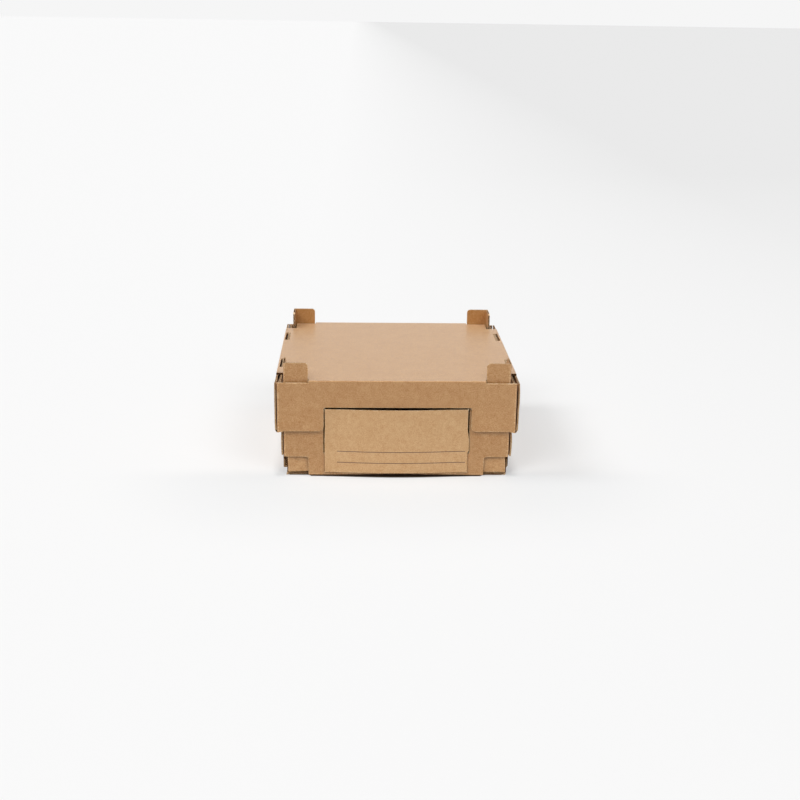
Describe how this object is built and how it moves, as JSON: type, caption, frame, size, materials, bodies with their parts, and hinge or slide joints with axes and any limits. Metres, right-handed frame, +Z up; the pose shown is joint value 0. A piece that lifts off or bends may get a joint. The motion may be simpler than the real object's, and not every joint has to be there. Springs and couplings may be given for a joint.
{
  "type": "stackable delivery box",
  "caption": "Low square box of brown corrugated board: an open tray with L-shaped stacking tabs at its corners, a lift-off lid that the tabs pass through, and a blank label board.",
  "frame": {"origin": "on the ground below the middle of the tray", "axes": "+Z up, -Y out of the front with the label board, +X to the right as seen from the front"},
  "size_m": [0.402, 0.405, 0.196],
  "materials": {
    "kraft_board": "plain brown kraft liner, matte",
    "pale_kraft_board": "slightly paler kraft liner, matte"
  },
  "bodies": {
    "tray": {"tray": "kraft_board", "label_board": "pale_kraft_board"},
    "lid": {"lid": "kraft_board"}
  },
  "joints": [
    {"name": "lid_lift", "type": "slide", "parent": "tray", "child": "lid", "axis": [0, 0, 1], "range_m": [0, 0.13]}
  ]
}
